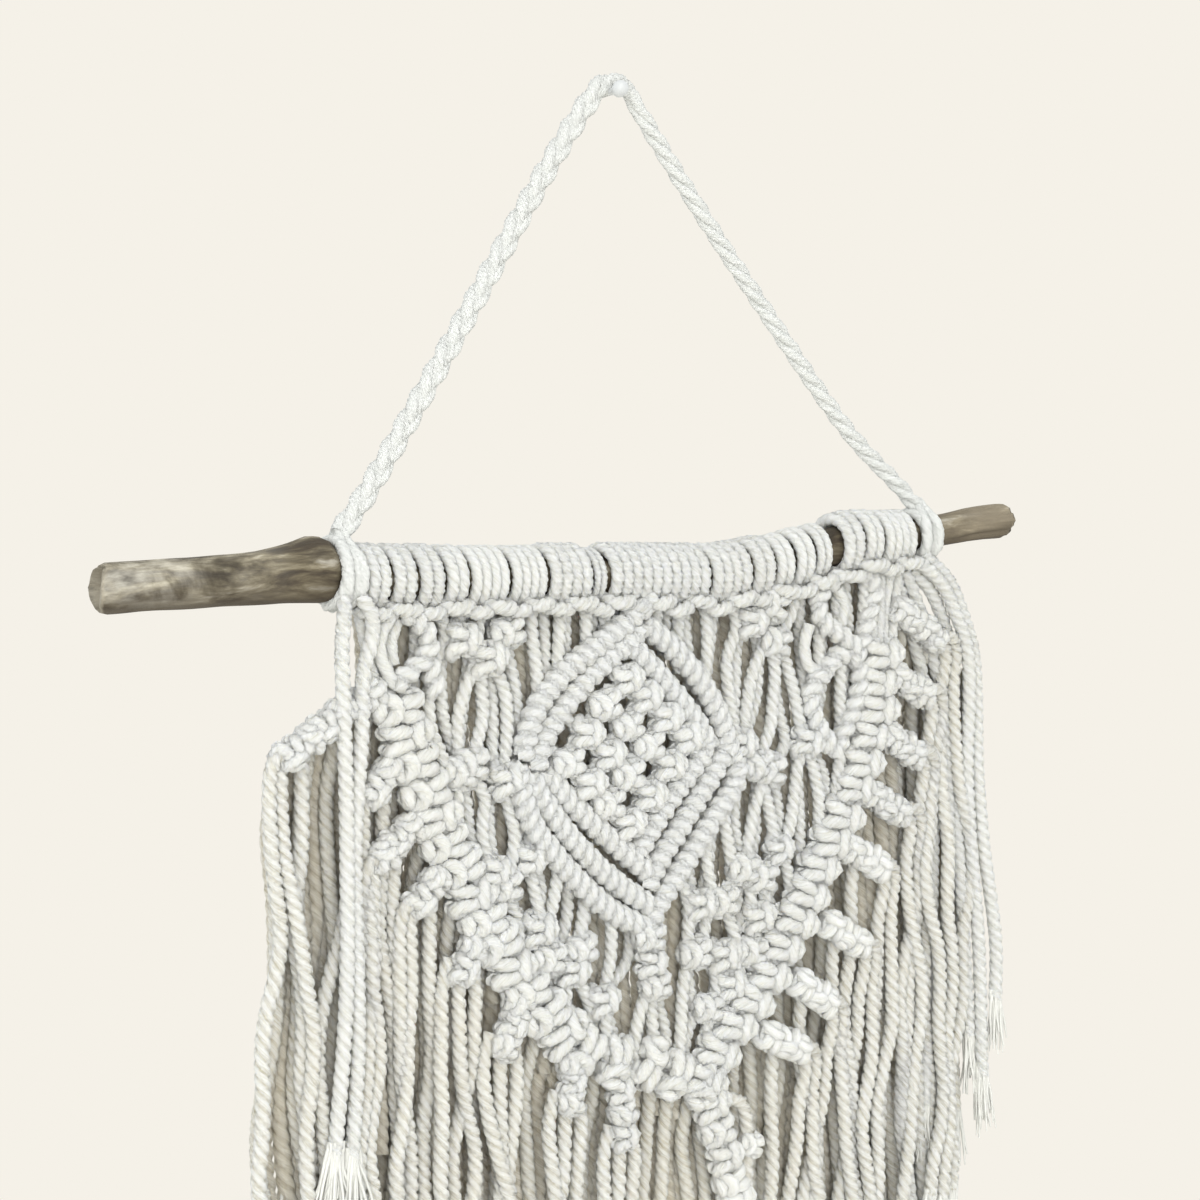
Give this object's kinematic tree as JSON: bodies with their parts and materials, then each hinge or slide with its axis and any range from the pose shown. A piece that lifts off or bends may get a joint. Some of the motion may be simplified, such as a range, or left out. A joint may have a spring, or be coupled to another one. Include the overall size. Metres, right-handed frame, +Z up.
{
  "type": "macrame wall hanging on a driftwood rod",
  "caption": "Knotted cotton macrame wall hanging with a diamond, a V of square knots and a long fringe, on a driftwood rod hung by a braided cord from a wall peg",
  "frame": {"origin": "where the peg meets the wall, on the peg's axis", "axes": "+Z up, -Y out of the wall towards the viewer, +X to the viewer's right"},
  "size_m": [0.2975, 0.0245, 0.4228],
  "materials": {
    "driftwood": "weathered grey-brown driftwood, bare",
    "peg_white": "smooth white plastic",
    "hanger_cotton": "three-strand flat braid of natural cotton",
    "cotton": "three-ply twisted natural cotton cord, knotted",
    "fringe_cotton": "three-ply twisted natural cotton cord, hanging free"
  },
  "bodies": {
    "root": {"driftwood_rod": "driftwood", "wall_peg": "peg_white", "hanger_cord": "hanger_cotton", "macrame_panel": "cotton", "fringe_left": "fringe_cotton", "fringe_right": "fringe_cotton"}
  },
  "joints": []
}
